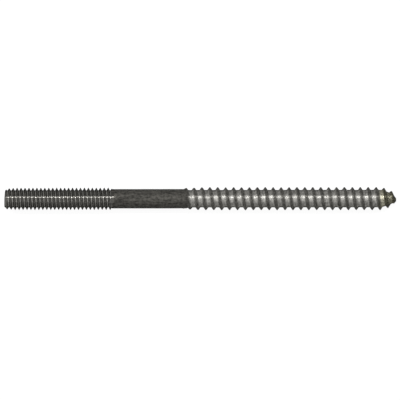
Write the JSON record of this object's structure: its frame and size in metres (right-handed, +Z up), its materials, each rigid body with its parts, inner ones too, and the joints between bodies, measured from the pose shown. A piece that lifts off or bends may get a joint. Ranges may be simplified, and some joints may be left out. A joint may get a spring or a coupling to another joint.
{
  "type": "hanger bolt",
  "caption": "Hanger bolt: a steel rod with a machine thread at one end, a plain shank, and a coarse lag thread with a gimlet point at the other end.",
  "frame": {"origin": "on the surface the bolt lies on, below the middle of its length and on its centre line", "axes": "+X along the bolt from the machine end to the point, +Z up from the surface it lies on, +Y across it"},
  "size_m": [0.1396, 0.0082, 0.0082],
  "materials": {
    "steel": "plain dark steel, lightly oiled, burnished in the lag thread's roots"
  },
  "bodies": {
    "root": {"hanger_bolt": "steel"}
  },
  "joints": []
}
